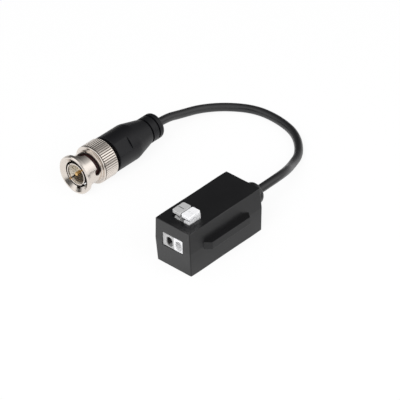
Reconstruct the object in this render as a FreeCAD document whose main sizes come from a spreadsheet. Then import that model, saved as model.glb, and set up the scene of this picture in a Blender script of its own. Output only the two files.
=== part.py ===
import FreeCAD, Part
import math
import os
import Sketcher
from FreeCAD import Placement, Rotation, Vector

# Video balun with a pigtail lead: a small two-shell housing with a two-pole lever terminal in
# front, a transformer board inside, and a coax lead at the back that ends in a bayonet plug.
# X runs across the front, Y from the front to the back, Z up. The origin is the middle of the
# housing's underside. Lengths are millimetres, angles degrees.

doc = FreeCAD.newDocument("video_balun")

# Driving dimensions
dimensions = {
    # housing
    "caseWidth": 15.46,
    "caseLength": 34.6,
    "caseHeight": 17.22,
    "partingHeight": 9.3,
    "caseDraft": 0.3,
    "caseWall": 1.3,
    "caseRoof": 1.3,
    "caseFloor": 1.4,
    "caseCorner": 0.35,
    "caseEdge": 0.15,
    "lipHeight": 0.8,
    "lipThickness": 0.55,
    "lipClearance": 0.06,
    # stacking rail on the right wall and its socket in the left wall
    "railDepth": 2.3,
    "railBelow": 1.2,
    "railAbove": 1.6,
    "railLength": 18.3,
    "railSlope": 1.8,
    "railEdge": 0.2,
    "socketClearance": 0.12,
    "socketWall": 0.7,
    # lever terminal
    "polePitch": 4.1,
    "poleOffset": 0.35,
    "endPlate": 0.95,
    "endPlateStep": 2.0,
    "terminalClearance": 0.1,
    "terminalDepth": 8.6,
    "terminalBelowRoof": 0.4,
    "windowBottom": 7.6,
    "windowHeight": 5.3,
    "faceRecess": 0.1,
    "entryWidth": 2.8,
    "entryHeight": 3.7,
    "entryDepth": 2.2,
    "entryCorner": 1.25,
    "entryHeightOfAxis": 9.95,
    "wireBore": 1.05,
    "wellWidth": 1.85,
    "flangeWidth": 2.45,
    "flangeOffset": 0.22,
    "flangeFront": 4.15,
    "flangeLength": 5.5,
    "flangeWall": 0.35,
    "flangeLow": 0.65,
    "flangeHigh": 1.85,
    "flangeStep": 1.4,
    "flangeSlope": 1.9,
    "openingSide": 1.6,
    "openingGap": 0.2,
    # levers
    "pivotBack": 1.4,
    "pivotDrop": 1.08,
    "trunnion": 0.55,
    "trunnionClearance": 0.05,
    "hubRadius": 0.9,
    "neckWidth": 1.65,
    "neckGap": 0.45,
    "neckBack": 0.45,
    "neckHeel": 0.25,
    "toeForward": 1.4,
    "toeThickness": 0.9,
    "toeDrop": 4.75,
    "slabWidth": 3.7,
    "slabLength": 5.7,
    "slabThickness": 1.05,
    "slabRise": 2.35,
    "slabOverhang": 0.65,
    "slabCorner": 0.7,
    "slabEdge": 0.22,
    "slitWidth": 0.3,
    "slitDepth": 0.45,
    "slitLength": 2.7,
    "slitBack": 2.75,
    # contacts and clamp springs
    "contactWidth": 1.45,
    "contactThickness": 0.4,
    "contactTop": 8.6,
    "contactGap": 0.1,
    "tailWidth": 0.8,
    "tailBelowBoard": 1.0,
    "springThickness": 0.2,
    "springBelowToe": 0.92,
    "springBend": 0.7,
    "springReach": 1.9,
    "springTip": 0.75,
    "springTipRise": 0.35,
    # board and its parts
    "boardThickness": 1.0,
    "boardTop": 4.2,
    "boardGap": 0.25,
    "postSide": 1.5,
    "postGap": 0.1,
    "coreOuter": 3.7,
    "coreInner": 2.0,
    "coreHeight": 2.6,
    "coreEdge": 0.3,
    "coreX": 0.5,
    "coreY": 2.4,
    "windingWire": 0.22,
    "windingGap": 0.06,
    "windingBend": 0.35,
    "windingStep": 22.0,
    "chipLength": 3.2,
    "chipWidth": 1.6,
    "chipHeight": 0.6,
    "chipX": -3.4,
    "chipSetback": 3.1,
    "chipPitch": 2.5,
    "capacitorRadius": 1.5,
    "capacitorHeight": 3.4,
    "capacitorEdge": 0.25,
    "capacitorX": 3.4,
    "capacitorSetback": 2.8,
    "diodeLength": 4.2,
    "diodeWidth": 2.6,
    "diodeHeight": 2.0,
    "diodeEdge": 0.3,
    "diodeTab": 0.7,
    "diodeTabWidth": 1.4,
    "diodeTabThickness": 0.2,
    "diodeGap": 0.75,
    "coreWireRadius": 0.25,
    "shieldWireRadius": 0.4,
    "wireBend": 0.9,
    "wireBelowBoard": 0.6,
    "landSetback": 2.2,
    "shieldX": 1.4,
    "shieldDrop": 0.9,
    # bushing and lead
    "leadHeight": 8.9,
    "leadDiameter": 3.1,
    "bushingRadius": 4.05,
    "bushingLength": 6.2,
    "bushingRound": 1.75,
    "bushingNeck": 2.6,
    "bushingFlange": 3.3,
    "bushingFlangeThickness": 1.2,
    "bushingClearance": 0.05,
    # plug, measured along its own axis from the mouth
    "plugX": -55.7,
    "plugY": -8.2,
    "nutRadius": 7.2,
    "nutFlange": 1.4,
    "nutChamfer": 0.3,
    "nutTailChamfer": 0.5,
    "nutBore": 4.95,
    "mouthFlare": 1.45,
    "mouthDepth": 1.05,
    "sleeveRadius": 5.85,
    "sleeveCove": 0.3,
    "shoulderStart": 8.0,
    "shoulderLength": 0.45,
    "shoulderRound": 0.4,
    "nutGroove": 0.3,
    "nutGrooveWidth": 0.35,
    "nutLength": 14.9,
    "knurlDepth": 0.24,
    "knurlWidth": 0.36,
    "knurlCount": 52,
    "camSlotWidth": 1.8,
    "camSlotStart": 6.0,
    "camSlotRise": 0.75,
    "camEntry": 0.7,
    "camEntryRadius": 1.5,
    "detentSetback": 0.85,
    "detentOffset": 0.25,
    "detentRadius": 1.25,
    "entryGrooveWall": 0.35,
    "camRoll": 79.0,
    "turnClearance": 0.1,
    "hubShaft": 3.75,
    "collarStart": 7.2,
    "collarLength": 2.0,
    "washerRoom": 1.2,
    "washerThickness": 0.3,
    "washerDish": 0.75,
    "washerGap": 0.05,
    "colletRadius": 4.2,
    "colletBore": 3.45,
    "colletLip": 0.35,
    "colletLipLength": 1.5,
    "colletStart": 0.9,
    "colletSlit": 0.5,
    "colletSlitLength": 3.6,
    "colletSlitRoll": 45.0,
    "gasketSeat": 4.42,
    "gasketLength": 2.0,
    "gasketRadius": 4.85,
    "insulatorStart": 5.6,
    "insulatorLength": 8.6,
    "pinRadius": 0.685,
    "pinStart": 0.9,
    "pinRound": 0.45,
    "pinTail": 2.2,
    "pinShoulder": 1.05,
    "rearCollarRadius": 5.2,
    "rearCollarLength": 1.2,
    "crimpNeck": 3.1,
    "crimpBore": 1.9,
    "crimpLength": 5.2,
    "ferruleWall": 0.5,
    "ferruleOverhang": 1.0,
    "fitGap": 0.03,
    # boot
    "bootGap": 1.15,
    "bootRadius": 6.85,
    "bootFront": 10.45,
    "bootTaper": 7.8,
    "bootTailRadius": 4.8,
    "bootTail": 6.2,
    "bootEdge": 0.25,
    "bootBlend": 6.0,
    "bootGrooveDepth": 0.5,
    "bootGrooveWidth": 0.7,
    "bootRib": 2.45,
    "bootTailRound": 1.3,
    "padWidth": 5.0,
    "padStart": 0.55,
    "padLength": 6.1,
    "padDepth": 0.5,
    "padRoll": 142.0,
}

sheet = doc.addObject("Spreadsheet::Sheet", "sizes")
for row, (alias, value) in enumerate(dimensions.items(), start=1):
    sheet.set(f"A{row}", alias)
    sheet.set(f"B{row}", str(value))
    sheet.setAlias(f"B{row}", alias)
doc.recompute()


class Size:
    # A length that knows its value and the expression that works it out from the sheet.
    def __init__(self, value, text):
        self.value = value
        self.text = text

    def joined(self, sign, other, value):
        text = other.text if isinstance(other, Size) else repr(other)
        return Size(value, f"({self.text} {sign} {text})")

    def __add__(self, other):
        return self.joined("+", other, self.value + plain(other))

    def __sub__(self, other):
        return self.joined("-", other, self.value - plain(other))

    def __mul__(self, other):
        return self.joined("*", other, self.value * plain(other))

    def __truediv__(self, other):
        return self.joined("/", other, self.value / plain(other))

    def __neg__(self):
        return Size(-self.value, f"(-1 * {self.text})")


class SheetSizes:
    def __getattr__(self, alias):
        return Size(float(sheet.get(alias)), f"sizes.{alias}")


def plain(quantity):
    return quantity.value if isinstance(quantity, Size) else quantity


s = SheetSizes()
zero = Size(0.0, "0")


# Sketches and features

def newBody(label):
    body = doc.addObject("PartDesign::Body", label)
    body.Label = label
    return body


def origin(body, role):
    return next(item for item in body.Origin.OriginFeatures if item.Role == role)


def newSketch(body, plane, offset=zero, roll=None):
    sketch = body.newObject("Sketcher::SketchObject", f"{body.Label}_sketch")
    sketch.AttachmentSupport = [(origin(body, plane), "")]
    sketch.MapMode = "FlatFace"
    if roll is not None:
        sketch.AttachmentOffset = Placement(Vector(), Rotation(Vector(0, 0, 1), roll.value))
        sketch.setExpression("AttachmentOffset.Rotation.Angle", roll.text)
    sketch.setExpression("AttachmentOffset.Base.z", offset.text)
    return sketch


def bind(sketch, kind, geometry, point, size):
    index = sketch.addConstraint(Sketcher.Constraint(kind, -1, 1, geometry, point, size.value))
    sketch.setExpression(f"Constraints[{index}]", size.text)


def outline(sketch, points):
    # closed run of straight edges
    first = sketch.GeometryCount
    count = len(points)
    for index, (x, y) in enumerate(points):
        nextX, nextY = points[(index + 1) % count]
        start = Vector(x.value, y.value, 0)
        end = Vector(nextX.value, nextY.value, 0)
        sketch.addGeometry(Part.LineSegment(start, end), False)
    for index in range(count):
        follower = first + (index + 1) % count
        sketch.addConstraint(Sketcher.Constraint("Coincident", first + index, 2, follower, 1))
    for index, (x, y) in enumerate(points):
        bind(sketch, "DistanceX", first + index, 1, x)
        bind(sketch, "DistanceY", first + index, 1, y)
    return sketch


def rectangle(sketch, left, right, bottom, top):
    return outline(sketch, [(left, bottom), (right, bottom), (right, top), (left, top)])


def circle(sketch, x, y, radius):
    centre = Vector(x.value, y.value, 0)
    geometry = sketch.addGeometry(Part.Circle(centre, Vector(0, 0, 1), radius.value), False)
    bind(sketch, "DistanceX", geometry, 3, x)
    bind(sketch, "DistanceY", geometry, 3, y)
    index = sketch.addConstraint(Sketcher.Constraint("Radius", geometry, radius.value))
    sketch.setExpression(f"Constraints[{index}]", radius.text)
    return sketch


def feature(body, kind, **settings):
    # next feature of a body; the body ends with it
    item = body.newObject(f"PartDesign::{kind}", f"{body.Label}_{kind.lower()}")
    for name, setting in settings.items():
        if isinstance(setting, Size):
            item.setExpression(name, setting.text)
        else:
            setattr(item, name, setting)
    body.Tip = item
    doc.recompute()
    return item


def pad(sketch, length, **settings):
    return feature(sketch.getParentGeoFeatureGroup(), "Pad", Profile=sketch, Length=length, **settings)


def pocket(sketch, length, **settings):
    body = sketch.getParentGeoFeatureGroup()
    before = body.Tip.Shape.Volume
    item = feature(body, "Pocket", Profile=sketch, Length=length, **settings)
    if item.Shape.Volume >= before:
        raise RuntimeError(f"{item.Label} cuts nothing")
    return item


def turned(label, points):
    # revolved about the body's own Y axis, from (radius, distance) points
    body = newBody(label)
    sketch = outline(newSketch(body, "XY_Plane"), points)
    feature(body, "Revolution", Profile=sketch, ReferenceAxis=(sketch, ["V_Axis"]), Angle=360)
    return body


def dress(body, kind, size, picked):
    # fillet or chamfer on the edges of the body that the test picks
    base = body.Tip
    names = [f"Edge{index}" for index, edge in enumerate(base.Shape.Edges, start=1) if picked(edge)]
    if not names:
        raise RuntimeError(f"{body.Label} has no edge for its {kind.lower()}")
    measure = {"Radius" if kind == "Fillet" else "Size": size}
    return feature(body, kind, Base=(base, names), **measure)


def repeat(body, originals, count):
    # copies evenly spaced round the body's own Y axis
    return feature(body, "PolarPattern", Originals=originals, Axis=(origin(body, "Y_Axis"), [""]),
                   Angle=360, Occurrences=count)


def placeAt(item, x, y, z, roll=None):
    # roll turns the piece about its own Y axis before it is moved to its place
    if roll is not None:
        item.Placement = Placement(Vector(), Rotation(Vector(0, 1, 0), roll.value))
        item.setExpression("Placement.Rotation.Angle", roll.text)
    item.setExpression("Placement.Base.x", x.text)
    item.setExpression("Placement.Base.y", y.text)
    item.setExpression("Placement.Base.z", z.text)
    return item


# Edge tests for fillets and chamfers

def isAbout(first, second):
    return abs(first - second) < 1e-4


def upright(edge):
    box = edge.BoundBox
    return box.ZLength > edge.Length / 2


def atHeight(height):
    def picked(edge):
        box = edge.BoundBox
        return isAbout(box.ZMin, height.value) and isAbout(box.ZMax, height.value)
    return picked


def roundEdge(radius, distance):
    # circle about the local Y axis, at that distance along it
    def picked(edge):
        curve = edge.Curve
        return (
            isinstance(curve, Part.Circle)
            and isAbout(curve.Radius, radius.value)
            and isAbout(curve.Center.y, distance.value)
        )
    return picked


# Rods and strips that follow a route

def route(points, radii):
    # straight runs joined by tangent arcs
    edges = []
    start = points[0]
    for corner, before, after, radius in zip(points[1:-1], points, points[2:], radii):
        arriving = (corner - before).normalize()
        leaving = (after - corner).normalize()
        half = arriving.getAngle(leaving) / 2
        setback = radius * math.tan(half)
        inward = (leaving - arriving).normalize() * (radius / math.cos(half) - radius)
        arc = Part.Arc(corner - arriving * setback, corner + inward, corner + leaving * setback)
        edges.append(Part.makeLine(start, arc.StartPoint))
        edges.append(arc.toShape())
        start = arc.EndPoint
    edges.append(Part.makeLine(start, points[-1]))
    return Part.Wire(edges)


def newPiece(label, shape):
    piece = doc.addObject("Part::Feature", label)
    piece.Label = label
    piece.Shape = shape
    return piece


def rod(label, points, radii, radius):
    path = route(points, radii)
    direction = points[1] - points[0]
    section = Part.Wire([Part.makeCircle(radius, points[0], direction)])
    return newPiece(label, path.makePipeShell([section], True, False))


# Places that several pieces share
halfWidth = s.caseWidth / 2
halfLength = s.caseLength / 2
frontFace = -halfLength
partingHalfWidth = halfWidth + s.caseDraft
partingHalfLength = halfLength + s.caseDraft
innerHalfWidth = halfWidth - s.caseWall
innerHalfLength = halfLength - s.caseWall
innerRoof = s.caseHeight - s.caseRoof
recessDepth = s.lipThickness + s.lipClearance
boardBottom = s.boardTop - s.boardThickness
windowTop = s.windowBottom + s.windowHeight
halfPole = s.polePitch / 2
greyCentre = s.poleOffset - halfPole
whiteCentre = s.poleOffset + halfPole
greyLever = greyCentre + s.flangeOffset
whiteLever = whiteCentre + s.flangeOffset
terminalLeft = greyCentre - halfPole - s.endPlate
terminalRight = whiteCentre + halfPole
terminalTop = innerRoof - s.terminalBelowRoof
endPlateTop = terminalTop - s.endPlateStep
terminalFront = frontFace + s.caseWall + s.terminalClearance
terminalBack = terminalFront + s.terminalDepth
terminalFace = frontFace + s.faceRecess
flangeFrontY = frontFace + s.flangeFront
flangeBackY = flangeFrontY + s.flangeLength
flangeTop = s.caseHeight + s.flangeHigh
wellFront = flangeFrontY + s.flangeWall
wellBack = flangeBackY - s.flangeWall
wellFloor = s.contactTop - s.contactThickness
tailBack = wellBack - s.contactGap
pivotY = flangeBackY - s.pivotBack
pivotZ = flangeTop - s.pivotDrop
toeEnd = pivotZ - s.toeDrop
springTop = toeEnd - s.springBelowToe
socketDepth = s.railDepth + s.socketClearance
socketBack = socketDepth - partingHalfWidth
bossInner = socketBack + s.socketWall
bossHalf = s.railLength / 2 + s.railSlope + s.socketClearance + s.socketWall
bushingHole = s.bushingNeck + s.bushingClearance
bushingInner = innerHalfLength - s.bushingClearance - s.bushingFlangeThickness
landY = bushingInner - s.landSetback
bushingOuter = partingHalfLength + s.bushingClearance + s.bushingLength
plugZ = s.nutRadius
gasketStart = s.collarStart - s.gasketLength
bootStart = s.nutLength + s.bootGap
bootEnd = bootStart + s.bootFront + s.bootTaper + s.bootTail


# Housing

def shellBlock(body, height, level, downwards):
    # block that narrows away from the joint plane, with rounded uprights and a bevelled end
    sketch = newSketch(body, "XY_Plane", s.partingHeight)
    rectangle(sketch, -partingHalfWidth, partingHalfWidth, -partingHalfLength, partingHalfLength)
    block = pad(sketch, height, Reversed=downwards)
    block.setExpression("TaperAngle", f"-1 * atan(sizes.caseDraft / {height.text})")
    doc.recompute()
    dress(body, "Fillet", s.caseCorner, upright)
    dress(body, "Chamfer", s.caseEdge, atHeight(level))


def railOutline(sketch, inside, wall, tip, gap):
    # plan of the stacking rail: flat face with sloping ends
    half = s.railLength / 2 + gap
    root = half + s.railSlope
    outline(sketch, [
        (inside, -root), (wall, -root), (tip, -half), (tip, half), (wall, root), (inside, root),
    ])


def addRail(body, height, downwards):
    sketch = newSketch(body, "XY_Plane", s.partingHeight)
    tip = partingHalfWidth + s.railDepth
    railOutline(sketch, innerHalfWidth + recessDepth, partingHalfWidth, tip, zero)
    pad(sketch, height, Reversed=downwards)
    level = s.partingHeight - height if downwards else s.partingHeight + height
    isLevel = atHeight(level)
    dress(body, "Fillet", s.railEdge, lambda edge: isLevel(edge) and isAbout(edge.BoundBox.XMin, tip.value))


def addSocket(body, height, downwards):
    # pocket for the next unit's rail, with its own inner wall
    boss = newSketch(body, "XY_Plane", s.partingHeight)
    rectangle(boss, -innerHalfWidth - recessDepth, bossInner, -bossHalf, bossHalf)
    pad(boss, height + s.socketClearance + s.socketWall, Reversed=downwards)
    socket = newSketch(body, "XY_Plane", s.partingHeight)
    railOutline(socket, -partingHalfWidth - s.caseDraft, -partingHalfWidth, socketBack, s.socketClearance)
    pocket(socket, height + s.socketClearance, Reversed=not downwards)


def cutEnds(body, windowLevel):
    # window for the terminal in the front wall, hole for the bushing in the back wall
    through = s.caseWall + s.caseDraft + s.lipClearance * 2
    gap = s.terminalClearance / 2
    window = newSketch(body, "XZ_Plane", innerHalfLength - s.lipClearance)
    rectangle(window, terminalLeft - gap, terminalRight + gap, *windowLevel)
    pocket(window, through, Reversed=True)
    hole = newSketch(body, "XZ_Plane", s.lipClearance - innerHalfLength)
    circle(hole, zero, s.leadHeight, bushingHole)
    pocket(hole, through)


def cornerPosts(body, base, height, gap):
    # one square post in each inner corner
    sketch = newSketch(body, "XY_Plane", base)
    outerX, outerY = innerHalfWidth - gap, innerHalfLength - gap
    innerX, innerY = outerX - s.postSide, outerY - s.postSide
    for left, right in ((-outerX, -innerX), (innerX, outerX)):
        for front, back in ((-outerY, -innerY), (innerY, outerY)):
            rectangle(sketch, left, right, front, back)
    pad(sketch, height)


def makeUpperCase():
    body = newBody("upper_case")
    shellBlock(body, s.caseHeight - s.partingHeight, s.caseHeight, downwards=False)
    inside = newSketch(body, "XY_Plane", s.partingHeight)
    rectangle(inside, -innerHalfWidth, innerHalfWidth, -innerHalfLength, innerHalfLength)
    pocket(inside, innerRoof - s.partingHeight, Reversed=True)
    # wider recess that takes the lower shell's lip
    recess = newSketch(body, "XY_Plane", s.partingHeight)
    rectangle(recess, -innerHalfWidth - recessDepth, innerHalfWidth + recessDepth,
              -innerHalfLength - recessDepth, innerHalfLength + recessDepth)
    pocket(recess, s.lipHeight + s.lipClearance, Reversed=True)
    addRail(body, s.railAbove, downwards=False)
    addSocket(body, s.railAbove, downwards=False)
    # opening round the levers
    opening = newSketch(body, "XY_Plane", innerRoof - s.lipClearance)
    halfFlange = s.flangeWidth / 2
    rectangle(opening, greyLever - halfFlange - s.openingSide, whiteLever + halfFlange + s.openingGap,
              flangeFrontY - s.openingGap, flangeBackY + s.openingGap)
    pocket(opening, s.caseRoof + s.lipClearance * 2, Reversed=True)
    cutEnds(body, (s.partingHeight - s.lipClearance, windowTop + s.terminalClearance / 2))
    # posts that hold the board down
    start = s.boardTop + s.postGap
    cornerPosts(body, start, innerRoof - start, s.postGap)
    return body


def makeLowerCase():
    body = newBody("lower_case")
    shellBlock(body, s.partingHeight, zero, downwards=True)
    inside = newSketch(body, "XY_Plane", s.partingHeight)
    rectangle(inside, -innerHalfWidth, innerHalfWidth, -innerHalfLength, innerHalfLength)
    pocket(inside, s.partingHeight - s.caseFloor)
    # lip that locates the upper shell
    lip = newSketch(body, "XY_Plane", s.partingHeight)
    rectangle(lip, -innerHalfWidth - s.lipThickness, innerHalfWidth + s.lipThickness,
              -innerHalfLength - s.lipThickness, innerHalfLength + s.lipThickness)
    rectangle(lip, -innerHalfWidth, innerHalfWidth, -innerHalfLength, innerHalfLength)
    pad(lip, s.lipHeight)
    addRail(body, s.railBelow, downwards=True)
    # the lip stops where the upper shell's socket wall stands
    gap = newSketch(body, "XY_Plane", s.partingHeight)
    rectangle(gap, -innerHalfWidth - recessDepth, s.lipClearance - innerHalfWidth,
              -bossHalf - s.lipClearance, bossHalf + s.lipClearance)
    pocket(gap, s.lipHeight, Reversed=True)
    addSocket(body, s.railBelow, downwards=True)
    cutEnds(body, (s.windowBottom, s.partingHeight + s.lipHeight + s.lipClearance))
    # posts that the board rests on
    cornerPosts(body, s.caseFloor, boardBottom - s.caseFloor, zero)
    return body


# Lever terminal, one module for each pole

def makeTerminal(label, centre, hasEndPlate):
    body = newBody(label)
    gap = s.terminalClearance / 2
    left = -halfPole - s.endPlate if hasEndPlate else -halfPole
    block = newSketch(body, "XZ_Plane", -terminalBack)
    if hasEndPlate:
        outline(block, [(left, s.boardTop), (halfPole, s.boardTop), (halfPole, terminalTop),
                        (-halfPole, terminalTop), (-halfPole, endPlateTop),
                        (left, endPlateTop)])
    else:
        rectangle(block, left, halfPole, s.boardTop, terminalTop)
    pad(block, s.terminalDepth)
    # face that fills the housing's window
    face = newSketch(body, "XZ_Plane", -terminalFront)
    rectangle(face, left, halfPole, s.windowBottom + gap, windowTop - gap)
    pad(face, terminalFront - terminalFace)
    # tower through the roof that carries the lever's pivot
    tower = newSketch(body, "YZ_Plane", s.flangeOffset)
    stepBack = flangeFrontY + s.flangeStep
    slopeBack = stepBack + s.flangeSlope
    towerLow = s.caseHeight + s.flangeLow
    outline(tower, [(flangeFrontY, terminalTop), (flangeBackY, terminalTop),
                    (flangeBackY, flangeTop), (slopeBack, flangeTop), (stepBack, towerLow),
                    (flangeFrontY, towerLow)])
    pad(tower, s.flangeWidth, SideType="Symmetric")
    # well for the lever, its spring and the contact
    well = newSketch(body, "XY_Plane", flangeTop)
    halfWell = s.wellWidth / 2
    rectangle(well, s.flangeOffset - halfWell, s.flangeOffset + halfWell, wellFront, wellBack)
    pocket(well, flangeTop - wellFloor)
    pivot = newSketch(body, "YZ_Plane", s.flangeOffset)
    circle(pivot, pivotY, pivotZ, s.trunnion + s.trunnionClearance)
    pocket(pivot, s.flangeWidth + s.trunnionClearance, SideType="Symmetric")
    # wire entry: rounded recess and the bore behind it
    entry = newSketch(body, "XZ_Plane", -terminalFace)
    halfEntry = s.entryHeight / 2
    rectangle(entry, -s.entryWidth / 2, s.entryWidth / 2,
              s.entryHeightOfAxis - halfEntry, s.entryHeightOfAxis + halfEntry)
    pocket(entry, s.entryDepth)
    dress(body, "Fillet", s.entryCorner, lambda edge: isAbout(edge.Length, s.entryDepth.value)
          and isAbout(edge.BoundBox.YLength, s.entryDepth.value)
          and isAbout(abs(edge.BoundBox.XMin), s.entryWidth.value / 2))
    bore = newSketch(body, "XZ_Plane", -terminalFace)
    circle(bore, zero, s.entryHeightOfAxis, s.wireBore)
    pocket(bore, wellFront - terminalFace + s.terminalClearance)
    # slot for the contact's tail
    tail = newSketch(body, "XY_Plane", wellFloor)
    halfTail = s.tailWidth / 2 + s.contactGap
    rectangle(tail, s.flangeOffset - halfTail, s.flangeOffset + halfTail,
              tailBack - s.contactThickness - s.contactGap, tailBack + s.contactGap)
    pocket(tail, wellFloor - s.boardTop)
    return placeAt(body, centre, zero, zero)


def makeLever(label, centre):
    body = newBody(label)
    slabBottom = s.caseHeight + s.slabRise
    slabTop = slabBottom + s.slabThickness
    slabFront = flangeFrontY - s.slabOverhang
    slabBack = slabFront + s.slabLength
    slab = newSketch(body, "XY_Plane", slabBottom)
    rectangle(slab, -s.slabWidth / 2, s.slabWidth / 2, slabFront, slabBack)
    pad(slab, s.slabThickness)
    dress(body, "Fillet", s.slabCorner, upright)
    dress(body, "Fillet", s.slabEdge, atHeight(slabTop))
    # screwdriver slit
    slit = newSketch(body, "XY_Plane", slabTop)
    slitY = slabFront + s.slitBack
    rectangle(slit, -s.slitLength / 2, s.slitLength / 2, slitY - s.slitWidth / 2, slitY + s.slitWidth / 2)
    pocket(slit, s.slitDepth)
    # neck, with the toe that bends the spring away from the wire
    neck = newSketch(body, "YZ_Plane")
    neckFront = wellFront + s.neckGap
    neckBack = slabBack - s.neckBack
    toeBack = pivotY - s.toeForward
    outline(neck, [(neckFront, slabBottom), (neckFront, pivotZ + s.neckHeel),
                   (toeBack - s.toeThickness, toeEnd), (toeBack, toeEnd),
                   (pivotY, pivotZ - s.hubRadius), (neckBack, pivotZ), (neckBack, slabBottom)])
    pad(neck, s.neckWidth, SideType="Symmetric")
    for radius, width in ((s.hubRadius, s.neckWidth), (s.trunnion, s.flangeWidth)):
        hub = newSketch(body, "YZ_Plane")
        circle(hub, pivotY, pivotZ, radius)
        pad(hub, width, SideType="Symmetric")
    return placeAt(body, centre, zero, zero)


def makeContact(label, centre):
    # flat bar under the wire, with a tail soldered in the board
    body = newBody(label)
    bar = newSketch(body, "XY_Plane", wellFloor)
    rectangle(bar, -s.contactWidth / 2, s.contactWidth / 2, wellFront + s.contactGap, tailBack)
    pad(bar, s.contactThickness)
    tail = newSketch(body, "XY_Plane", wellFloor)
    rectangle(tail, -s.tailWidth / 2, s.tailWidth / 2, tailBack - s.contactThickness, tailBack)
    pad(tail, wellFloor - boardBottom + s.tailBelowBoard, Reversed=True)
    return placeAt(body, centre, zero, zero)


def makeClampSpring(label, centre):
    # bent strip: rear leg on the contact, arch, and a leaf that leans into the wire's way
    halfStrip = s.springThickness.value / 2
    legY = tailBack.value - halfStrip
    points = [
        Vector(0, legY, s.contactTop.value),
        Vector(0, legY, springTop.value),
        Vector(0, legY - s.springReach.value, springTop.value),
        Vector(0, (wellFront + s.springTip).value, (s.contactTop + s.springTipRise).value),
    ]
    path = route(points, [s.springBend.value] * 2)
    halfStripWidth = s.contactWidth.value / 2
    corners = [Vector(x, legY + y, s.contactTop.value) for x, y in (
        (-halfStripWidth, -halfStrip), (halfStripWidth, -halfStrip),
        (halfStripWidth, halfStrip), (-halfStripWidth, halfStrip), (-halfStripWidth, -halfStrip))]
    strip = newPiece(label, path.makePipeShell([Part.makePolygon(corners)], True, False))
    return placeAt(strip, centre, zero, zero)


# Board and its parts

def makeBoard():
    body = newBody("circuit_board")
    halfX, halfY = innerHalfWidth - s.boardGap, innerHalfLength - s.boardGap
    sketch = newSketch(body, "XY_Plane", boardBottom)
    rectangle(sketch, -halfX, halfX, -halfY, halfY)
    halfTail = s.tailWidth / 2 + s.contactGap
    for centre in (greyLever, whiteLever):
        rectangle(sketch, centre - halfTail, centre + halfTail,
                  tailBack - s.contactThickness - s.contactGap, tailBack + s.contactGap)
    circle(sketch, zero, landY, s.coreWireRadius + s.contactGap)
    circle(sketch, s.shieldX, landY, s.shieldWireRadius + s.contactGap)
    pad(sketch, s.boardThickness)
    return body


def onBoard(body, x, y):
    return placeAt(body, x, y, s.boardTop)


def makeCore():
    # ring of the balun transformer, on edge between the turns of its windings
    body = newBody("ferrite_core")
    sketch = newSketch(body, "XY_Plane", (s.windingWire + s.windingGap) * 2)
    circle(sketch, zero, zero, s.coreOuter)
    circle(sketch, zero, zero, s.coreInner)
    pad(sketch, s.coreHeight)
    dress(body, "Fillet", s.coreEdge, lambda edge: isinstance(edge.Curve, Part.Circle))
    return onBoard(body, s.coreX, s.coreY)


def makeWinding(label, firstAngle, turns):
    # each turn goes up outside the ring, down inside it, and on to the next turn below it
    stand = s.windingWire.value + s.windingGap.value
    low = stand
    high = stand * 3 + s.coreHeight.value
    outer = s.coreOuter.value + stand
    inner = s.coreInner.value - stand

    def place(radius, turn, height):
        angle = math.radians(firstAngle + turn * s.windingStep.value)
        return Vector(radius * math.cos(angle), radius * math.sin(angle), height)

    points = []
    for turn in range(turns):
        points.append(place(outer, turn, low if turn else 0))
        points.append(place(outer, turn, high))
        points.append(place(inner, turn, high))
        points.append(place(inner, turn, low if turn < turns - 1 else 0))
    winding = rod(label, points, [s.windingBend.value] * (len(points) - 2), s.windingWire.value)
    return onBoard(winding, s.coreX, s.coreY)


def makeChip(label, y):
    body = newBody(label)
    sketch = newSketch(body, "XY_Plane")
    rectangle(sketch, -s.chipLength / 2, s.chipLength / 2, -s.chipWidth / 2, s.chipWidth / 2)
    pad(sketch, s.chipHeight)
    return onBoard(body, s.chipX, y)


def makeCapacitor():
    body = newBody("blocking_capacitor")
    pad(circle(newSketch(body, "XY_Plane"), zero, zero, s.capacitorRadius), s.capacitorHeight)
    dress(body, "Fillet", s.capacitorEdge, atHeight(s.capacitorHeight))
    return onBoard(body, s.capacitorX, landY - s.capacitorSetback)


def makeDiode():
    # moulded surge diode with a solder tab at each end
    body = newBody("surge_diode")
    halfX, halfY = s.diodeLength / 2, s.diodeWidth / 2
    sketch = newSketch(body, "XY_Plane")
    rectangle(sketch, -halfX, halfX, -halfY, halfY)
    pad(sketch, s.diodeHeight)
    dress(body, "Chamfer", s.diodeEdge, atHeight(s.diodeHeight))
    tabs = newSketch(body, "XY_Plane")
    rectangle(tabs, -halfX - s.diodeTab, halfX + s.diodeTab, -s.diodeTabWidth / 2, s.diodeTabWidth / 2)
    pad(tabs, s.diodeTabThickness)
    return onBoard(body, zero, terminalBack + s.diodeGap + halfY)


def makeStrippedWire(label, x, z, radius):
    # from the bushing's inner end down through the board
    points = [
        Vector(x.value, bushingInner.value, z.value),
        Vector(x.value, landY.value, z.value),
        Vector(x.value, landY.value, (boardBottom - s.wireBelowBoard).value),
    ]
    return rod(label, points, [s.wireBend.value], radius.value)


# Lead and its bushing

def makeBushing():
    # inner flange, neck through the wall, and the rounded collar outside
    neckEnd = s.bushingFlangeThickness + s.caseWall + s.caseDraft + s.bushingClearance * 2
    end = bushingOuter - bushingInner
    body = turned("lead_bushing", [
        (zero, zero), (s.bushingFlange, zero), (s.bushingFlange, s.bushingFlangeThickness),
        (s.bushingNeck, s.bushingFlangeThickness), (s.bushingNeck, neckEnd),
        (s.bushingRadius, neckEnd), (s.bushingRadius, end), (zero, end),
    ])
    dress(body, "Fillet", s.bushingRound, roundEdge(s.bushingRadius, end))
    return placeAt(body, zero, bushingInner, s.leadHeight)


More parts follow.
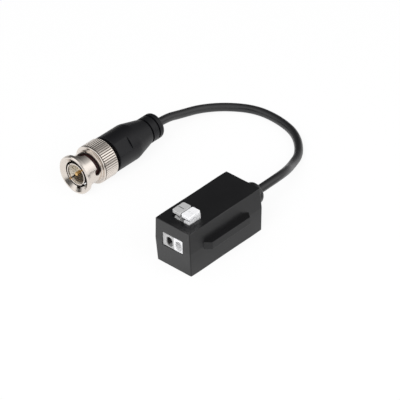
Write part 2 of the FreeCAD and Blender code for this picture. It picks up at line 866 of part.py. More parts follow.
def makeLead():
    # The lead leaves the bushing, lies on the table in one wide loop and rises to the plug.
    lying = s.leadDiameter.value / 2
    points = [Vector(*point) for point in (
        (0, bushingOuter.value, s.leadHeight.value),
        (0, 31.5, s.leadHeight.value),
        (-2.1, 40.6, 6.9),
        (-6.4, 48.5, 3.4),
        (-10.6, 57.4, lying),
        (-19.2, 65.3, lying),
        (-29.5, 68.2, lying),
        (-40.4, 68, lying),
        (-49.7, 62.8, lying),
        (-54.7, 54, 3.1),
        (-55.8, 44.6, 5),
        (-55.7, 37.6, plugZ.value),
        (s.plugX.value, (s.plugY + bootEnd).value, plugZ.value),
    )]
    runs = [(after - before).Length for before, after in zip(points, points[1:])]
    radii = []
    for index, corner in enumerate(points[1:-1]):
        turn = (corner - points[index]).getAngle(points[index + 2] - corner)
        radii.append(0.45 * min(runs[index], runs[index + 1]) / math.tan(turn / 2))
    lead = rod("lead", points, radii, lying)
    length = route(points, radii).Length
    print("lead runs", [round(run, 1) for run in runs])
    print("lead radii", [round(radius, 1) for radius in radii])
    print("lead length", round(length, 2), "volume ratio",
          round(lead.Shape.Volume / (math.pi * lying ** 2 * length), 5))
    return lead


# Plug: every piece is modelled along its own Y axis from the mouth

def placePlugPiece(body, roll=None):
    return placeAt(body, s.plugX, s.plugY, plugZ, roll)


def makeCouplingNut():
    grooveStart = s.shoulderStart + s.shoulderLength
    knurlStart = grooveStart + s.nutGrooveWidth
    grooveRadius = s.nutRadius - s.nutGroove
    rim = s.nutRadius - s.nutChamfer
    tail = s.nutRadius - s.nutTailChamfer
    seat = s.collarStart + s.collarLength + s.washerRoom
    rearBore = s.hubShaft + s.turnClearance
    body = turned("coupling_nut", [
        (rearBore, s.nutLength), (rearBore, seat), (s.nutBore, seat), (s.nutBore, s.mouthDepth),
        (s.nutBore + s.mouthFlare, zero), (rim, zero), (s.nutRadius, s.nutChamfer),
        (s.nutRadius, s.nutFlange), (s.sleeveRadius, s.nutFlange), (s.sleeveRadius, s.shoulderStart),
        (s.nutRadius, s.shoulderStart), (s.nutRadius, grooveStart), (grooveRadius, grooveStart),
        (grooveRadius, knurlStart), (s.nutRadius, knurlStart),
        (s.nutRadius, s.nutLength - s.nutTailChamfer), (tail, s.nutLength),
    ])
    dress(body, "Fillet", s.sleeveCove, lambda edge: roundEdge(s.sleeveRadius, s.nutFlange)(edge)
          or roundEdge(s.sleeveRadius, s.shoulderStart)(edge))
    dress(body, "Fillet", s.shoulderRound, roundEdge(s.nutRadius, s.shoulderStart))
    # cam slot: a quarter turn of helix through the sleeve, with a wide entry and a detent at its far end
    beyond = s.nutRadius + s.turnClearance
    halfSlot = s.camSlotWidth / 2
    inside = s.nutBore - s.turnClearance
    profile = newSketch(body, "XY_Plane")
    rectangle(profile, inside, beyond, s.camSlotStart - halfSlot, s.camSlotStart + halfSlot)
    cam = feature(body, "SubtractiveHelix", Profile=profile, ReferenceAxis=(profile, ["V_Axis"]),
                  Mode="pitch-height-angle", Pitch=s.camSlotRise * 4, Height=s.camSlotRise)
    start = newSketch(body, "YZ_Plane")
    circle(start, s.camSlotStart - s.camEntry, zero, s.camEntryRadius)
    startHole = pocket(start, beyond, Reversed=True)
    end = newSketch(body, "XY_Plane")
    slotEnd = s.camSlotStart + s.camSlotRise
    circle(end, zero, slotEnd, halfSlot)
    endHole = pocket(end, beyond)
    detent = newSketch(body, "XY_Plane")
    circle(detent, -s.detentOffset, slotEnd - s.detentSetback, s.detentRadius)
    detentHole = pocket(detent, beyond)
    # groove inside the mouth that leads each lug to its slot
    entry = newSketch(body, "XZ_Plane")
    rectangle(entry, inside, s.sleeveRadius - s.entryGrooveWall, -halfSlot, halfSlot)
    entryGroove = pocket(entry, s.camSlotStart)
    repeat(body, [cam, startHole, endHole, detentHole, entryGroove], 2)
    # straight knurl
    notch = newSketch(body, "XZ_Plane", -knurlStart)
    outline(notch, [(s.nutRadius - s.knurlDepth, zero), (s.nutRadius + s.knurlDepth, -s.knurlWidth),
                    (s.nutRadius + s.knurlDepth, s.knurlWidth)])
    knurl = pocket(notch, s.nutLength - knurlStart)
    repeat(body, [knurl], s.knurlCount)
    return placePlugPiece(body, s.camRoll)


def makePlugBody():
    collarEnd = s.collarStart + s.collarLength
    insulatorEnd = s.insulatorStart + s.insulatorLength
    rearCollarEnd = bootStart + s.rearCollarLength
    neckEnd = rearCollarEnd + s.crimpLength
    collarRadius = s.nutBore - s.turnClearance
    body = turned("plug_body", [
        (s.colletBore + s.colletLip, s.colletStart), (s.colletRadius, s.colletStart),
        (s.colletRadius, gasketStart),
        (s.gasketSeat, gasketStart), (s.gasketSeat, s.collarStart), (collarRadius, s.collarStart),
        (collarRadius, collarEnd), (s.hubShaft, collarEnd), (s.hubShaft, bootStart),
        (s.rearCollarRadius, bootStart), (s.rearCollarRadius, rearCollarEnd),
        (s.crimpNeck, rearCollarEnd), (s.crimpNeck, neckEnd), (s.crimpBore, neckEnd),
        (s.crimpBore, insulatorEnd), (s.colletBore, insulatorEnd),
        (s.colletBore, s.colletStart + s.colletLipLength),
    ])
    slit = newSketch(body, "XZ_Plane", -s.colletStart, s.colletSlitRoll)
    rectangle(slit, s.colletBore - s.turnClearance, s.colletRadius + s.turnClearance,
              -s.colletSlit / 2, s.colletSlit / 2)
    repeat(body, [pocket(slit, s.colletSlitLength)], 4)
    return placePlugPiece(body)


def makeGasket():
    inner = s.gasketSeat + s.fitGap
    return placePlugPiece(turned("gasket", [
        (inner, gasketStart), (s.gasketRadius, gasketStart), (s.gasketRadius, s.collarStart),
        (inner, s.collarStart),
    ]))


def makeSpringWasher():
    # dished ring between the body's collar and the nut's seat
    inner = s.hubShaft + s.turnClearance
    outer = s.nutBore - s.turnClearance
    start = s.collarStart + s.collarLength + s.washerGap
    dished = start + s.washerDish
    return placePlugPiece(turned("spring_washer", [
        (outer, start), (outer, start + s.washerThickness),
        (inner, dished + s.washerThickness), (inner, dished),
    ]))


def makeInsulator():
    inner = s.pinShoulder + s.fitGap
    outer = s.colletBore - s.fitGap
    end = s.insulatorStart + s.insulatorLength
    return placePlugPiece(turned("insulator", [
        (inner, s.insulatorStart), (outer, s.insulatorStart), (outer, end), (inner, end),
    ]))


def makeCentrePin():
    end = s.insulatorStart + s.insulatorLength + s.pinTail
    body = turned("centre_pin", [
        (zero, s.pinStart), (s.pinRadius, s.pinStart), (s.pinRadius, s.insulatorStart),
        (s.pinShoulder, s.insulatorStart), (s.pinShoulder, end), (zero, end),
    ])
    dress(body, "Fillet", s.pinRound, roundEdge(s.pinRadius, s.pinStart))
    return placePlugPiece(body)


def ferruleSizes():
    inner = s.crimpNeck + s.fitGap
    start = bootStart + s.rearCollarLength + s.fitGap
    return inner, inner + s.ferruleWall, start, start + s.crimpLength + s.ferruleOverhang


def makeFerrule():
    inner, outer, start, end = ferruleSizes()
    return placePlugPiece(turned("crimp_ferrule", [
        (inner, start), (outer, start), (outer, end), (inner, end),
    ]))


def makeBoot():
    ferruleOuter, ferruleEnd = ferruleSizes()[1], ferruleSizes()[3]
    collarRoom = s.rearCollarRadius + s.fitGap
    collarEnd = bootStart + s.rearCollarLength + s.fitGap
    ferruleRoom = ferruleOuter + s.fitGap
    roomEnd = ferruleEnd + s.fitGap
    taperStart = bootStart + s.bootFront
    taperEnd = taperStart + s.bootTaper
    ring = s.bootTailRadius - s.bootGrooveDepth
    firstRib = taperEnd + s.bootGrooveWidth
    secondGroove = firstRib + s.bootRib
    secondRib = secondGroove + s.bootGrooveWidth
    body = turned("boot", [
        (collarRoom, bootStart), (s.bootRadius, bootStart), (s.bootRadius, taperStart),
        (s.bootTailRadius, taperEnd), (ring, taperEnd), (ring, firstRib), (s.bootTailRadius, firstRib),
        (s.bootTailRadius, secondGroove), (ring, secondGroove), (ring, secondRib),
        (s.bootTailRadius, secondRib), (s.bootTailRadius, bootEnd), (zero, bootEnd), (zero, roomEnd),
        (ferruleRoom, roomEnd), (ferruleRoom, collarEnd), (collarRoom, collarEnd),
    ])
    dress(body, "Fillet", s.bootBlend, roundEdge(s.bootRadius, taperStart))
    dress(body, "Fillet", s.bootTailRound, roundEdge(s.bootTailRadius, bootEnd))
    dress(body, "Fillet", s.bootEdge, roundEdge(s.bootRadius, bootStart))
    # flat finger pads on opposite sides
    flat = newSketch(body, "YZ_Plane", s.bootRadius - s.padDepth)
    start = bootStart + s.padStart
    rectangle(flat, start, start + s.padLength, -s.padWidth / 2, s.padWidth / 2)
    repeat(body, [pocket(flat, s.padDepth * 2, Reversed=True)], 2)
    return placePlugPiece(body, s.padRoll)


pieces = [
    makeUpperCase(),
    makeLowerCase(),
    makeTerminal("terminal_grey", greyCentre, hasEndPlate=True),
    makeTerminal("terminal_white", whiteCentre, hasEndPlate=False),
    makeLever("lever_grey", greyLever),
    makeLever("lever_white", whiteLever),
    makeContact("contact_grey", greyLever),
    makeContact("contact_white", whiteLever),
    makeClampSpring("clamp_spring_grey", greyLever),
    makeClampSpring("clamp_spring_white", whiteLever),
    makeBoard(),
    makeCore(),
    makeWinding("winding_primary", -33, 4),
    makeWinding("winding_secondary", 147, 4),
    makeChip("line_resistor_front", landY - s.chipSetback),
    makeChip("line_resistor_rear", landY - s.chipSetback + s.chipPitch),
    makeCapacitor(),
    makeDiode(),
    makeStrippedWire("core_wire", zero, s.leadHeight, s.coreWireRadius),
    makeStrippedWire("shield_wire", s.shieldX, s.leadHeight - s.shieldDrop, s.shieldWireRadius),
    makeBushing(),
    makeLead(),
    makeCouplingNut(),
    makePlugBody(),
    makeGasket(),
    makeSpringWasher(),
    makeInsulator(),
    makeCentrePin(),
    makeFerrule(),
    makeBoot(),
]

doc.recompute()
for item in doc.Objects:
    if "Invalid" in item.State or "Error" in item.State:
        raise RuntimeError(f"{item.Label} failed: {item.State}")
for piece in pieces:
    if piece.Shape.isNull() or not piece.Shape.isValid():
        raise RuntimeError(f"{piece.Label} has no valid shape")

os.makedirs("parts", exist_ok=True)
for piece in pieces:
    piece.Shape.exportStep(f"parts/{piece.Label}.step")
print(len(pieces), "pieces written")
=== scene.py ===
import math
import bmesh
import bpy
from mathutils import Matrix, Vector


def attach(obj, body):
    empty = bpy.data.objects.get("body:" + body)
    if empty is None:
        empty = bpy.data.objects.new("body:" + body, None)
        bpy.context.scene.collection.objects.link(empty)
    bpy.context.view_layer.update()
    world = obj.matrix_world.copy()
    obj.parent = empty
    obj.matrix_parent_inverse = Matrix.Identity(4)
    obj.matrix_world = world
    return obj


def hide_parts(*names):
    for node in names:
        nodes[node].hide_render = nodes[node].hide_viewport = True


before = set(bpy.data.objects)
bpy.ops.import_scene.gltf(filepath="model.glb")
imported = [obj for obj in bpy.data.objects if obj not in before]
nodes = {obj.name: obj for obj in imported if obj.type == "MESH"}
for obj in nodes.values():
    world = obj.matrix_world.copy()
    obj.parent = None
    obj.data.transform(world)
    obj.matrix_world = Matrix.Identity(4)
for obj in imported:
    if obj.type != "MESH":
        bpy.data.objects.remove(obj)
scene = bpy.context.scene


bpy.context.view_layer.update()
mm = 0.001


# camera

viewPoint = {
    "azimuth": 44.682,  # degrees, from straight in front towards the right side
    "elevation": 35.766,
    "roll": -2.663,
    "aim": (-3.312, 14.839),  # mm, across and up in the picture plane through the origin
    "distance": 1040.0,  # mm
    "lens": 279.17,
    "sensor": 36,
    "nearest": 0.05,  # m, the camera sees nothing closer
}


def makeCamera():
    azimuth, elevation, roll = (math.radians(viewPoint[key]) for key in ("azimuth", "elevation", "roll"))
    back = Vector((math.sin(azimuth) * math.cos(elevation), -math.cos(azimuth) * math.cos(elevation),
                   math.sin(elevation)))
    level = Vector((math.cos(azimuth), math.sin(azimuth), 0))
    upright = back.cross(level)
    across = level * math.cos(roll) + upright * math.sin(roll)
    up = upright * math.cos(roll) - level * math.sin(roll)
    aimAcross, aimUp = viewPoint["aim"]
    place = (across * aimAcross + up * aimUp + back * viewPoint["distance"]) * mm
    data = bpy.data.cameras.new("camera")
    data.lens = viewPoint["lens"]
    data.sensor_width = viewPoint["sensor"]
    data.clip_start = viewPoint["nearest"]
    camera = bpy.data.objects.new("camera", data)
    camera.matrix_world = Matrix((
        (across.x, up.x, back.x, place.x),
        (across.y, up.y, back.y, place.y),
        (across.z, up.z, back.z, place.z),
        (0, 0, 0, 1),
    ))
    scene.collection.objects.link(camera)
    scene.camera = camera


# helpers for node trees

def feed(tree, socket, value):
    # links another node's output, or sets a plain value
    if isinstance(value, bpy.types.NodeSocket):
        tree.links.new(value, socket)
    else:
        socket.default_value = value


def addNode(tree, kind, **values):
    # values: the node's own settings, and its inputs by name
    node = tree.nodes.new(kind)
    for key, value in values.items():
        if key in node.inputs:
            feed(tree, node.inputs[key], value)
        else:
            setattr(node, key, value)
    return node


def feedAll(tree, node, values):
    for socket, value in zip(node.inputs, values):
        feed(tree, socket, value)
    return node.outputs


def calculate(tree, operation, *values):
    return feedAll(tree, addNode(tree, "ShaderNodeMath", operation=operation), values)[0]


def calculateVector(tree, operation, *values, result="Vector"):
    return feedAll(tree, addNode(tree, "ShaderNodeVectorMath", operation=operation), values)[result]


def mapRange(tree, value, old, new=(0, 1)):
    node = addNode(tree, "ShaderNodeMapRange", Value=value)
    for socket, limit in zip(("From Min", "From Max", "To Min", "To Max"), (*old, *new)):
        node.inputs[socket].default_value = limit
    return node.outputs["Result"]


def mixShaders(tree, share, first, second):
    return feedAll(tree, addNode(tree, "ShaderNodeMixShader"), (share, first, second))[0]


# light, room and floor

white = (1, 1, 1, 1)
studio = {
    "lamps": {  # name: (place in m, size in m, watts)
        "frontSoftbox": ((0.3, -0.8, 0.8), 0.9, 9.8),
        "rightSoftbox": ((0.9, 0.1, 0.7), 0.8, 4.4),
    },
    "target": (-0.02, 0.02, 0.0),
    "background": 1.0,  # what the camera sees of the room
    "fill": 0.54,  # what the room gives to rough surfaces
    "darkSide": (-0.70, 0.55, 0.45),  # where gloss sees the unlit end of the room
    "gloss": (1.05, 0.105),  # what gloss sees away from it and right in it
    "glossEdges": (0.16, 0.98),  # cosines between which the one turns into the other
    "cards": [  # what gloss sees of the cards round the table: direction, outer and inner cosine, brightness
        ((0.063, -0.946, 0.320), (0.925, 0.975), 0.1),
        ((-0.80, -0.565, 0.210), (0.945, 0.985), 0.05),
        ((-0.52, -0.66, 0.54), (0.955, 0.985), 1.35),
        ((0.58, 0.58, 0.57), (0.93, 0.985), 1.35),
    ],
}
paleFloor = {
    "size": 3.0,
    "color": (0.92, 0.92, 0.925, 1),
    "shown": 0.9,  # share of plain white in the floor's look
    "mirrored": 0.6,  # the same in reflections
    "dimPlace": (0.0, 0.02),  # m in x, between which the mirrored white dims towards the right, a painted shade on the floor seen only in reflections
    "dim": 0.75,  # by how much
}


def makeLamps():
    for name, (place, size, watts) in studio["lamps"].items():
        data = bpy.data.lights.new(name, "AREA")
        data.shape = "DISK"
        data.size = size
        data.energy = watts
        lamp = bpy.data.objects.new(name, data)
        lamp.location = place
        aim = Vector(studio["target"]) - lamp.location
        lamp.rotation_euler = aim.to_track_quat("-Z", "Y").to_euler()
        lamp.visible_glossy = False
        scene.collection.objects.link(lamp)


def makeRoom():
    world = bpy.data.worlds.new("room")
    world.use_nodes = True
    scene.world = world
    tree = world.node_tree
    tree.nodes.clear()
    direction = addNode(tree, "ShaderNodeTexCoord").outputs["Generated"]

    def towards(aim, edges, values):
        # a value that turns into another where the direction comes close to the aim
        near = calculateVector(tree, "DOT_PRODUCT", direction, Vector(aim).normalized(), result="Value")
        return mapRange(tree, near, edges, values)

    glow = towards(studio["darkSide"], studio["glossEdges"], studio["gloss"])
    for aim, edges, brightness in studio["cards"]:
        card = addNode(tree, "ShaderNodeMix", data_type="FLOAT", Factor=towards(aim, edges, (0, 1)),
                       A=glow, B=brightness)
        glow = card.outputs["Result"]
    gloss, fill, plain = (addNode(tree, "ShaderNodeBackground", Color=white, Strength=strength).outputs[0]
                          for strength in (glow, studio["fill"], studio["background"]))
    path = addNode(tree, "ShaderNodeLightPath").outputs
    shiny = calculate(tree, "MAXIMUM", path["Is Glossy Ray"], path["Is Transmission Ray"])
    lit = mixShaders(tree, shiny, fill, gloss)
    addNode(tree, "ShaderNodeOutputWorld", Surface=mixShaders(tree, path["Is Camera Ray"], lit, plain))


def makeFloor():
    half = paleFloor["size"] / 2
    mesh = bpy.data.meshes.new("floor")
    corners = [(-half, -half, 0), (half, -half, 0), (half, half, 0), (-half, half, 0)]
    mesh.from_pydata(corners, [], [(0, 1, 2, 3)])
    floor = bpy.data.objects.new("floor", mesh)
    scene.collection.objects.link(floor)
    material = bpy.data.materials.new("paleFloor")
    material.use_nodes = True
    tree = material.node_tree
    tree.nodes.clear()
    path = addNode(tree, "ShaderNodeLightPath").outputs
    clear = calculate(tree, "MAXIMUM", path["Is Camera Ray"], path["Is Transmission Ray"])
    shown = calculate(tree, "MULTIPLY", clear, paleFloor["shown"])
    share = calculate(tree, "MULTIPLY_ADD", path["Is Glossy Ray"], paleFloor["mirrored"], shown)
    place = addNode(tree, "ShaderNodeTexCoord").outputs["Object"]
    across = addNode(tree, "ShaderNodeSeparateXYZ", Vector=place).outputs["X"]
    # painted shade: the floor's glow dims towards the right for reflections only
    dim = mapRange(tree, across, paleFloor["dimPlace"], (0, paleFloor["dim"]))
    dimmed = calculate(tree, "MULTIPLY", dim, path["Is Glossy Ray"])
    glow = addNode(tree, "ShaderNodeEmission", Strength=calculate(tree, "SUBTRACT", 1.0, dimmed)).outputs[0]
    cloth = addNode(tree, "ShaderNodeBsdfDiffuse", Color=paleFloor["color"]).outputs[0]
    addNode(tree, "ShaderNodeOutputMaterial", Surface=mixShaders(tree, share, cloth, glow))
    mesh.materials.append(material)


scene.view_settings.view_transform = "Standard"
makeCamera()
makeLamps()
makeRoom()
makeFloor()
print("studio ready")


# node groups that the finishes share

scuffs = {
    "scale": 7000.0,  # as all noise here, per m
    "stretch": (0.12, 1, 0.12),
    "edges": (0.56, 0.74),  # noise values between which a scuff sets in
    "roughness": 0.08,  # what a scuff adds
}
patchEdges = (0.3, 0.7)  # noise values between which the roughness goes through its range
plugFront = (-55.7, -8.2, 7.2)  # mm, middle of the plug's front


def newGroup(name, inputs, results):
    # inputs are name, kind and start value
    group = bpy.data.node_groups.new(name, "ShaderNodeTree")
    for socket, kind, start in inputs:
        group.interface.new_socket(socket, in_out="INPUT", socket_type=kind).default_value = start
    for socket in results:
        group.interface.new_socket(socket, in_out="OUTPUT", socket_type="NodeSocketFloat")
    given = addNode(group, "NodeGroupInput").outputs
    place = addNode(group, "ShaderNodeTexCoord").outputs["Object"]
    return group, given, place


def fineGrainGroup():
    # moulded or tooled grain: a height for bumps, a slow mask for tone and fine scuffs across the long axis
    group, given, place = newGroup("fineGrain", [("Grain Scale", "NodeSocketFloat", 400.0),
                                                 ("Patch Scale", "NodeSocketFloat", 60.0)],
                                   ["Height", "Patches", "Scuffs"])

    def noise(where, scale, detail, rough):
        node = addNode(group, "ShaderNodeTexNoise", Vector=where, Scale=scale, Detail=detail, Roughness=rough)
        return node.outputs["Fac"]

    grain = noise(place, given["Grain Scale"], 3.0, 0.6)
    patch = noise(place, given["Patch Scale"], 2.0, 0.5)
    streak = noise(calculateVector(group, "MULTIPLY", place, scuffs["stretch"]), scuffs["scale"], 2.0, 0.7)
    scuff = mapRange(group, streak, scuffs["edges"])
    addNode(group, "NodeGroupOutput", Height=grain, Patches=patch, Scuffs=scuff)
    return group


def maskGroup(name, inputs, distances):
    # a mask by the piece's own coordinates in mm: one inside, nought outside, with a soft rim
    group, given, place = newGroup(name, [*inputs, ("Soft", "NodeSocketFloat", 0.1)], ["Mask"])
    placeInMm = calculateVector(group, "DIVIDE", place, (mm, mm, mm))
    outside, *others = distances(group, given, placeInMm)
    for distance in others:
        outside = calculate(group, "MAXIMUM", outside, distance)
    rim = mapRange(group, calculate(group, "DIVIDE", outside, given["Soft"]), (0, -1))
    addNode(group, "NodeGroupOutput", Mask=rim)
    return group


def boxDistances(group, given, place):
    offset = calculateVector(group, "SUBTRACT", place, given["Middle"])
    past = calculateVector(group, "SUBTRACT", calculateVector(group, "ABSOLUTE", offset), given["Half Size"])
    return addNode(group, "ShaderNodeSeparateXYZ", Vector=past).outputs


def ringDistances(group, given, place):
    # rings round the plug's axis: radius, and distance behind the plug's front
    offset = calculateVector(group, "SUBTRACT", place, plugFront)
    flat = calculateVector(group, "MULTIPLY", offset, (1, 0, 1))
    radius = calculateVector(group, "LENGTH", flat, result="Value")
    behind = addNode(group, "ShaderNodeSeparateXYZ", Vector=offset).outputs["Y"]
    pairs = ((given["Inner"], radius), (radius, given["Outer"]),
             (given["Front"], behind), (behind, given["Back"]))
    return [calculate(group, "SUBTRACT", low, high) for low, high in pairs]


fineGrain = fineGrainGroup()
boxMask = maskGroup("boxMask", [("Middle", "NodeSocketVector", (0, 0, 0)),
                                ("Half Size", "NodeSocketVector", (1, 1, 1))], boxDistances)
ringMask = maskGroup("ringMask", [("Inner", "NodeSocketFloat", 0.0), ("Outer", "NodeSocketFloat", 1.0),
                                  ("Front", "NodeSocketFloat", 0.0), ("Back", "NodeSocketFloat", 1.0)],
                     ringDistances)
print("node groups ready")


# finishes

finishes = {  # dark and light tone, roughness range, noise scale of grain and patches, the grain's depth in m
    "housing": {"dark": (0.0014, 0.0014, 0.002), "light": (0.0028, 0.0028, 0.0036), "rough": (0.28, 0.36),
                "grain": 5200, "patch": 90, "depth": 0.000012, "ior": 1.6},
    "terminalGrey": {"dark": (0.4, 0.4, 0.4), "light": (0.46, 0.46, 0.46), "rough": (0.3, 0.42),
                     "grain": 4000, "patch": 160, "depth": 0.000004},
    "terminalWhite": {"dark": (0.77, 0.77, 0.785), "light": (0.83, 0.83, 0.84), "rough": (0.28, 0.4),
                      "grain": 4000, "patch": 160, "depth": 0.000004},
    "bootSkin": {"dark": (0.0016, 0.0016, 0.0026), "light": (0.0032, 0.0032, 0.0044), "rough": (0.36, 0.46),
                 "grain": 2600, "patch": 70, "depth": 0.00001, "ior": 1.37},
    "jacket": {"dark": (0.005, 0.005, 0.0058), "light": (0.008, 0.008, 0.0088), "rough": (0.28, 0.38),
               "grain": 2600, "patch": 70, "depth": 0.00001, "ior": 1.58},
    "nutMetal": {"dark": (0.7, 0.64, 0.58), "light": (0.8, 0.735, 0.68), "rough": (0.16, 0.26),
                 "grain": 3000, "patch": 240, "depth": 0.000003, "metal": 1.0},
    "plugMetal": {"dark": (0.7, 0.64, 0.58), "light": (0.8, 0.735, 0.68), "rough": (0.16, 0.26),
                  "grain": 3000, "patch": 240, "depth": 0.000003, "metal": 1.0},
    "gold": {"dark": (0.72, 0.45, 0.16), "light": (0.86, 0.6, 0.28), "rough": (0.36, 0.46),
             "grain": 3000, "patch": 300, "depth": 0.000002, "metal": 1.0},
    "insulator": {"dark": (0.72, 0.68, 0.55), "light": (0.8, 0.76, 0.64), "rough": (0.4, 0.5),
                  "grain": 2500, "patch": 200, "depth": 0.000004},
    "gasket": {"dark": (0.013, 0.002, 0.0018), "light": (0.022, 0.003, 0.0026), "rough": (0.45, 0.6),
               "grain": 2500, "patch": 200, "depth": 0.000004},
    "board": {"dark": (0.01, 0.07, 0.03), "light": (0.015, 0.1, 0.045), "rough": (0.25, 0.4),
              "grain": 2500, "patch": 200, "depth": 0.000004},
    "ferrite": {"dark": (0.02, 0.02, 0.02), "light": (0.04, 0.04, 0.042), "rough": (0.5, 0.65),
                "grain": 3500, "patch": 200, "depth": 0.00002},
    "copper": {"dark": (0.7, 0.26, 0.1), "light": (0.85, 0.38, 0.18), "rough": (0.2, 0.3),
               "grain": 2500, "patch": 200, "depth": 0.000002, "metal": 1.0},
    "component": {"dark": (0.02, 0.02, 0.02), "light": (0.035, 0.035, 0.035), "rough": (0.4, 0.5),
                  "grain": 3500, "patch": 200, "depth": 0.000006},
    "steel": {"dark": (0.5, 0.5, 0.5), "light": (0.62, 0.62, 0.62), "rough": (0.25, 0.35),
              "grain": 2500, "patch": 200, "depth": 0.000003, "metal": 1.0},
}
usualIor = 1.5

# a near-black painted shade for the barrel under the coupling nut and the nut's slot walls
paintedShade = {"Base Color": (0.012, 0.007, 0.006), "Metallic": 0.0, "Roughness": 0.6}
shades = [  # painted light and shade: finish, mask, where it lies in mm, what the finish turns into
    # inside the collet: lighter, duller metal, a painted light on the bore's walls
    ("plugMetal", ringMask, {"Inner": 0.0, "Outer": 3.75, "Front": 1.0, "Back": 7.0},
     {"Base Color": (0.84, 0.79, 0.7), "Metallic": 0.35, "Roughness": 0.42}),
    # painted shade: darker along the lower side of the collet's inside
    ("plugMetal", boxMask, {"Middle": (-54.9, -4.4, 4.7), "Half Size": (3.6, 2.6, 2.7), "Soft": 0.7},
     {"Base Color": (0.1, 0.08, 0.06)}),
    # painted shade on the barrel under the coupling nut and on the walls of the nut's slots
    ("plugMetal", ringMask, {"Inner": 3.9, "Outer": 6.0, "Front": 1.5, "Back": 17.0}, paintedShade),
    ("nutMetal", ringMask, {"Inner": 4.5, "Outer": 5.6, "Front": 2.0, "Back": 15.0}, paintedShade),
    # painted shade in the knurl's grooves
    ("nutMetal", ringMask, {"Inner": 6.0, "Outer": 7.13, "Front": 8.44, "Back": 14.4, "Soft": 0.08},
     {"Base Color": (0.2, 0.18, 0.16), "Roughness": 0.4}),
    # painted shade deep in the grey wire entry, in the slit on the grey lever and deep in the white wire
    # entry
    ("terminalGrey", boxMask, {"Middle": (-1.7, -14.3, 10.3), "Half Size": (1.95, 2.8, 2.4), "Soft": 0.5},
     {"Base Color": (0.03, 0.03, 0.03)}),
    ("terminalGrey", boxMask, {"Middle": (-1.48, -11.05, 20.3), "Half Size": (1.5, 0.25, 0.3), "Soft": 0.08},
     {"Base Color": (0.05, 0.05, 0.05)}),
    ("terminalWhite", boxMask, {"Middle": (2.4, -14.3, 9.95), "Half Size": (1.95, 2.8, 2.4), "Soft": 0.5},
     {"Base Color": (0.66, 0.66, 0.665)}),
]

nodeFinish = {
    "upper_case": "housing", "lower_case": "housing", "lead_bushing": "housing",
    "terminal_grey": "terminalGrey", "lever_grey": "terminalGrey",
    "terminal_white": "terminalWhite", "lever_white": "terminalWhite",
    "contact_grey": "gold", "contact_white": "gold",
    "clamp_spring_grey": "steel", "clamp_spring_white": "steel",
    "circuit_board": "board", "ferrite_core": "ferrite",
    "winding_primary": "copper", "winding_secondary": "copper",
    "line_resistor_front": "component", "line_resistor_rear": "component",
    "blocking_capacitor": "steel", "surge_diode": "component",
    "core_wire": "copper", "shield_wire": "copper",
    "boot": "bootSkin", "coupling_nut": "nutMetal", "plug_body": "plugMetal",
    "crimp_ferrule": "steel", "gasket": "gasket", "spring_washer": "steel",
    "insulator": "insulator", "centre_pin": "gold", "lead": "jacket",
}


def newFinish(name, look):
    # patches drift between the two tones and through the roughness range, scuffs add to the roughness
    material = bpy.data.materials.new(name)
    material.use_nodes = True
    tree = material.node_tree
    scales = {"Grain Scale": look["grain"], "Patch Scale": look["patch"]}
    grain = addNode(tree, "ShaderNodeGroup", node_tree=fineGrain, **scales).outputs
    tone = addNode(tree, "ShaderNodeMix", data_type="RGBA", Factor=grain["Patches"],
                   A=(*look["dark"], 1), B=(*look["light"], 1))
    rough = mapRange(tree, grain["Patches"], patchEdges, look["rough"])
    scuffed = calculate(tree, "MULTIPLY_ADD", grain["Scuffs"], scuffs["roughness"], rough)
    bump = addNode(tree, "ShaderNodeBump", Strength=1.0, Distance=look["depth"], Height=grain["Height"])
    inputs = {"Base Color": tone.outputs["Result"], "Roughness": scuffed, "Normal": bump.outputs["Normal"],
              "Metallic": look.get("metal", 0.0), "IOR": look.get("ior", usualIor)}
    for key, value in inputs.items():
        feed(tree, tree.nodes["Principled BSDF"].inputs[key], value)
    return material


def shade(material, group, where, change):
    # turns the shader's inputs into other values where the mask says so
    tree = material.node_tree
    mask = addNode(tree, "ShaderNodeGroup", node_tree=group, **where).outputs["Mask"]
    for key, value in change.items():
        socket = tree.nodes["Principled BSDF"].inputs[key]
        before = socket.links[0].from_socket if socket.is_linked else socket.default_value
        if key == "Base Color":
            mix = addNode(tree, "ShaderNodeMix", data_type="RGBA", Factor=mask, A=before, B=(*value, 1))
        else:
            mix = addNode(tree, "ShaderNodeMix", data_type="FLOAT", Factor=mask, A=before, B=value)
        feed(tree, socket, mix.outputs["Result"])


materials = {name: newFinish(name, look) for name, look in finishes.items()}
for name, group, where, change in shades:
    shade(materials[name], group, where, change)
for node, finish in nodeFinish.items():
    data = nodes[node].data
    data.materials.clear()
    data.materials.append(materials[finish])
print("finishes ready")


# polarity marks on the roof, in front of the levers

marks = {
    "roof": 17.22,  # mm
    "rise": 0.05,
    "sunk": 0.1,
    "arm": 0.62,
    "half": 0.14,  # half the width of an arm
    "places": {"plus": (-3.0, -15.6), "minus": (2.75, -15.6)},
}


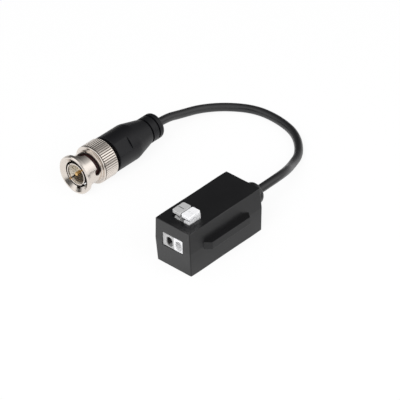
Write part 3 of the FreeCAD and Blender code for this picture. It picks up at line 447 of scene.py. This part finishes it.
def makeMark(name, outline, place):
    mesh = bpy.data.meshes.new(name)
    shape = bmesh.new()
    x, y = place
    low = marks["roof"] - marks["sunk"]
    corners = [shape.verts.new(Vector((x + right, y + back, low)) * mm) for right, back in outline]
    raised = bmesh.ops.extrude_face_region(shape, geom=[shape.faces.new(corners)])["geom"]
    top = [part for part in raised if isinstance(part, bmesh.types.BMVert)]
    bmesh.ops.translate(shape, verts=top, vec=(0, 0, (marks["sunk"] + marks["rise"]) * mm))
    bmesh.ops.recalc_face_normals(shape, faces=shape.faces)
    shape.to_mesh(mesh)
    shape.free()
    mesh.materials.append(materials["housing"])
    mark = bpy.data.objects.new(name, mesh)
    scene.collection.objects.link(mark)
    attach(mark, "root")


def makeMarks():
    arm, half = marks["arm"], marks["half"]
    outlines = {
        "plus": [(half, half), (arm, half), (arm, -half), (half, -half), (half, -arm), (-half, -arm),
                 (-half, -half), (-arm, -half), (-arm, half), (-half, half), (-half, arm), (half, arm)],
        "minus": [(-arm, -half), (arm, -half), (arm, half), (-arm, half)],
    }
    for name, outline in outlines.items():
        makeMark(name + "Mark", outline, marks["places"][name])


makeMarks()
print("marks ready")


# lead

leadCord = {
    "diameter": 3.1,
    "length": 112.2,
    "route": [  # mm, from the bushing to the boot
        (0, 23.85, 8.9), (0, 31.5, 8.9), (-2.1, 40.6, 6.9), (-6.4, 48.5, 3.4), (-10.6, 57.4, 1.55),
        (-19.2, 65.3, 1.55), (-29.5, 68.2, 1.55), (-40.4, 68, 1.55), (-49.7, 62.8, 1.55),
        (-54.7, 54, 3.1), (-55.8, 44.6, 5), (-55.7, 37.6, 7.2), (-55.7, 32.3, 7.2),
    ],
    "roundness": 8,
    "steps": 24,  # between two points of the route
}


def makeLead():
    curve = bpy.data.curves.new("lead", "CURVE")
    curve.dimensions = "3D"
    curve.bevel_depth = leadCord["diameter"] / 2 * mm
    curve.bevel_resolution = leadCord["roundness"]
    curve.resolution_u = leadCord["steps"]
    spline = curve.splines.new("NURBS")
    route = leadCord["route"]
    spline.points.add(len(route) - 1)
    for point, place in zip(spline.points, route):
        point.co = (*(Vector(place) * mm), 1)
    spline.order_u = 3
    spline.use_endpoint_u = True
    curve.materials.append(materials["jacket"])
    lead = bpy.data.objects.new("leadCord", curve)
    scene.collection.objects.link(lead)
    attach(lead, "root")
    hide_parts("lead")
    return lead


lead = makeLead()
print("lead ready")
